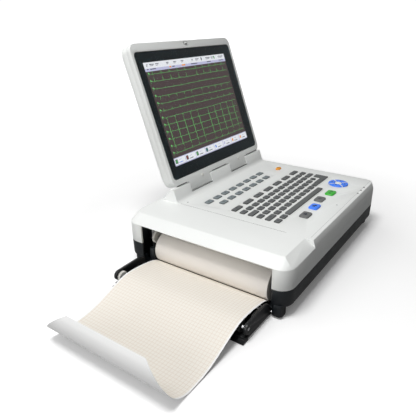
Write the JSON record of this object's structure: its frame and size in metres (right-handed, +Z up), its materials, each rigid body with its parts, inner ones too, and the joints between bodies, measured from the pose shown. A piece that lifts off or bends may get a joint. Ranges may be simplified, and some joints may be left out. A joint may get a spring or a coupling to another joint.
{
  "type": "ecg machine",
  "caption": "Portable ECG machine: white and dark case, flip-up colour screen, keyboard, arrow pad, drop-down paper door with a curled strip of grid paper.",
  "frame": {"origin": "middle of the overall footprint, on the table plane", "axes": "+X to the operator's right, +Y away from the operator, +Z up; the paper leaves towards -X"},
  "size_m": [0.6058, 0.3768, 0.3523],
  "materials": {
    "cool_white_abs": "fine spark texture",
    "dark_abs": "fine spark texture",
    "black_plastic": "satin",
    "rubber": "moulded",
    "steel": "ground",
    "aluminium": "extruded",
    "paper": "grid-printed thermal",
    "display_glass": "glossy dark",
    "display_panel": "lit picture",
    "grey_silicone": "matte keys",
    "blue_plastic": "satin",
    "green_plastic": "satin",
    "orange_plastic": "satin",
    "white_nylon": "moulded",
    "ceramic": "glazed thermal line",
    "circuit_board": "solder mask",
    "lamp_lens": "tinted"
  },
  "bodies": {
    "base": {"battery_light": "lamp_lens", "battery_pack": "black_plastic", "charge_light": "lamp_lens", "drive_motor": "black_plastic", "earth_stud": "steel", "foot_pad_back_left": "rubber", "foot_pad_back_right": "rubber", "foot_pad_front_left": "rubber", "foot_pad_front_right": "rubber", "function_keypad": "grey_silicone", "letter_keypad": "grey_silicone", "loudspeaker": "black_plastic", "lower_housing": "dark_abs", "main_board": "circuit_board", "mains_inlet": "black_plastic", "mains_light": "lamp_lens", "motor_plate": "steel", "network_port": "steel", "paper_bay_liner": "dark_abs", "paper_sheet": "paper", "patient_port": "dark_abs", "power_supply": "aluminium", "print_head_bracket": "steel", "print_head_ceramic": "ceramic", "print_head_heat_sink": "aluminium", "upper_housing": "cool_white_abs", "usb_port": "steel"},
    "lid": {"lid_bezel": "cool_white_abs", "lid_back_cover": "cool_white_abs", "display_glass": "display_glass", "display_panel": "display_panel", "lid_bumper_left": "white_nylon", "lid_bumper_right": "white_nylon", "hinge_shaft_left": "steel", "hinge_shaft_right": "steel"},
    "lid_latch": {"lid_latch_hook": "cool_white_abs"},
    "door": {"paper_door": "black_plastic", "door_hinge_pin": "steel", "door_latch_pin": "steel"},
    "door_latch": {"door_latch_lever": "black_plastic"},
    "platen": {"platen_roller": "rubber", "platen_shaft": "steel", "platen_gear": "white_nylon"},
    "paper_supply": {"paper_roll": "paper", "roll_spindle": "black_plastic"},
    "drive_gear": {"drive_gear": "white_nylon"},
    "motor_pinion": {"motor_pinion": "white_nylon"},
    "power_button": {"power_button": "orange_plastic"},
    "start_button": {"start_button": "green_plastic"},
    "copy_button": {"copy_button": "blue_plastic"},
    "review_button": {"review_button": "grey_silicone"},
    "print_button": {"print_button": "grey_silicone"},
    "confirm_button": {"confirm_button": "cool_white_abs"},
    "arrow_up": {"arrow_up": "blue_plastic"},
    "arrow_down": {"arrow_down": "blue_plastic"},
    "arrow_left": {"arrow_left": "blue_plastic"},
    "arrow_right": {"arrow_right": "blue_plastic"},
    "enter_key": {"enter_key": "grey_silicone"},
    "space_key": {"space_key": "grey_silicone"}
  },
  "joints": [
    {"name": "lid_hinge", "type": "hinge", "parent": "base", "child": "lid", "pos_m": [0.14438, 0.07923, 0.104], "axis": [1, 0, 0], "range_deg": [-20, 109.84]},
    {"name": "lid_latch_slide", "type": "slide", "parent": "lid", "child": "lid_latch", "axis": [1, 0, 0], "range_m": [0, 0.0025], "stiffness_N_per_m": 150},
    {"name": "door_hinge", "type": "hinge", "parent": "base", "child": "door", "pos_m": [-0.09012, -0.04136, 0.007], "axis": [0, 1, 0], "range_deg": [0, 90], "deforming": ["paper_sheet"]},
    {"name": "door_latch_turn", "type": "hinge", "parent": "door", "child": "door_latch", "pos_m": [-0.12812, -0.15516, 0.0205], "axis": [0, 1, 0], "range_deg": [-12, 4]},
    {"name": "platen_spin", "type": "hinge", "parent": "door", "child": "platen", "pos_m": [-0.15232, -0.04136, 0.0175], "axis": [0, 1, 0], "continuous": true},
    {"name": "paper_roll_spin", "type": "hinge", "parent": "base", "child": "paper_supply", "pos_m": [-0.06062, -0.04686, 0.0338], "axis": [0, 1, 0], "continuous": true},
    {"name": "drive_gear_spin", "type": "hinge", "parent": "base", "child": "drive_gear", "pos_m": [-0.06763, 0.06864, 0.052], "axis": [0, 1, 0], "continuous": true},
    {"name": "motor_pinion_spin", "type": "hinge", "parent": "base", "child": "motor_pinion", "pos_m": [-0.05192, 0.06864, 0.052], "axis": [0, 1, 0], "continuous": true},
    {"name": "power_button_press", "type": "slide", "parent": "base", "child": "power_button", "axis": [0, 0, -1], "range_m": [0, 0.001], "stiffness_N_per_m": 300, "springref_m": -0.0005},
    {"name": "start_button_press", "type": "slide", "parent": "base", "child": "start_button", "axis": [0, 0, -1], "range_m": [0, 0.001], "stiffness_N_per_m": 300, "springref_m": -0.0005},
    {"name": "copy_button_press", "type": "slide", "parent": "base", "child": "copy_button", "axis": [0, 0, -1], "range_m": [0, 0.001], "stiffness_N_per_m": 300, "springref_m": -0.0005},
    {"name": "review_button_press", "type": "slide", "parent": "base", "child": "review_button", "axis": [0, 0, -1], "range_m": [0, 0.001], "stiffness_N_per_m": 300, "springref_m": -0.0005},
    {"name": "print_button_press", "type": "slide", "parent": "base", "child": "print_button", "axis": [0, 0, -1], "range_m": [0, 0.001], "stiffness_N_per_m": 300, "springref_m": -0.0005},
    {"name": "confirm_button_press", "type": "slide", "parent": "base", "child": "confirm_button", "axis": [0, 0, -1], "range_m": [0, 0.001], "stiffness_N_per_m": 300, "springref_m": -0.0005},
    {"name": "arrow_up_press", "type": "slide", "parent": "base", "child": "arrow_up", "axis": [0, 0, -1], "range_m": [0, 0.001], "stiffness_N_per_m": 300, "springref_m": -0.0005},
    {"name": "arrow_down_press", "type": "slide", "parent": "base", "child": "arrow_down", "axis": [0, 0, -1], "range_m": [0, 0.001], "stiffness_N_per_m": 300, "springref_m": -0.0005},
    {"name": "arrow_left_press", "type": "slide", "parent": "base", "child": "arrow_left", "axis": [0, 0, -1], "range_m": [0, 0.001], "stiffness_N_per_m": 300, "springref_m": -0.0005},
    {"name": "arrow_right_press", "type": "slide", "parent": "base", "child": "arrow_right", "axis": [0, 0, -1], "range_m": [0, 0.001], "stiffness_N_per_m": 300, "springref_m": -0.0005},
    {"name": "enter_key_press", "type": "slide", "parent": "base", "child": "enter_key", "axis": [0, 0, -1], "range_m": [0, 0.0009], "stiffness_N_per_m": 300, "springref_m": -0.0005},
    {"name": "space_key_press", "type": "slide", "parent": "base", "child": "space_key", "axis": [0, 0, -1], "range_m": [0, 0.0009], "stiffness_N_per_m": 300, "springref_m": -0.0005}
  ],
  "couplings": [
    {"joint": "drive_gear_spin", "follows": "motor_pinion_spin", "ratio": -0.44444}
  ]
}
